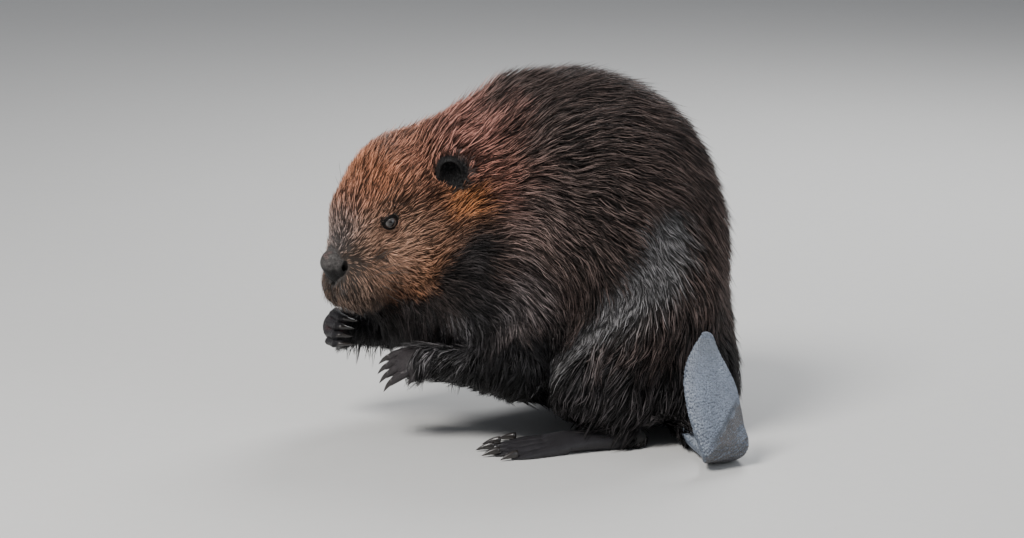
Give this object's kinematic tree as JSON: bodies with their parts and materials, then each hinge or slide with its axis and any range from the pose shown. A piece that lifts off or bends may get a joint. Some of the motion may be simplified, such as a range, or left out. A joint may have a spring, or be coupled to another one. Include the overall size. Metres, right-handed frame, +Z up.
{
  "type": "beaver",
  "caption": "Life-size beaver sitting hunched on its rump, head turned to its left, one forepaw at its mouth, scaly tail folded up beside the haunch.",
  "frame": {"origin": "middle of the flat under the rump, on the floor", "axes": "+Z up, the animal faces -X and its left side is towards -Y"},
  "size_m": [0.4309, 0.3991, 0.3661],
  "materials": {
    "body_fur": "long glossy guard hairs over dense fur",
    "head_fur": "short lying fur",
    "ear_fur": "short velvety fur",
    "eye": "wet gloss",
    "nose_skin": "finely grained, moist",
    "paw_skin": "bare wrinkled skin with horn claws",
    "tail_scales": "small flat horny scales"
  },
  "bodies": {
    "root": {"head": "head_fur", "nose": "nose_skin", "neck": "body_fur", "trunk": "body_fur", "eye_left": "eye", "ear_left": "ear_fur", "eye_right": "eye", "ear_right": "ear_fur", "thigh_left": "body_fur", "shank_left": "body_fur", "upper_arm_left": "body_fur", "thigh_right": "body_fur", "shank_right": "body_fur", "upper_arm_right": "body_fur", "hand_left": "paw_skin", "foot_left": "paw_skin", "forearm_left": "body_fur", "hand_right": "paw_skin", "foot_right": "paw_skin", "forearm_right": "body_fur", "tail_root": "body_fur", "tail_blade_lower": "tail_scales", "tail_blade_upper": "tail_scales"}
  },
  "joints": []
}
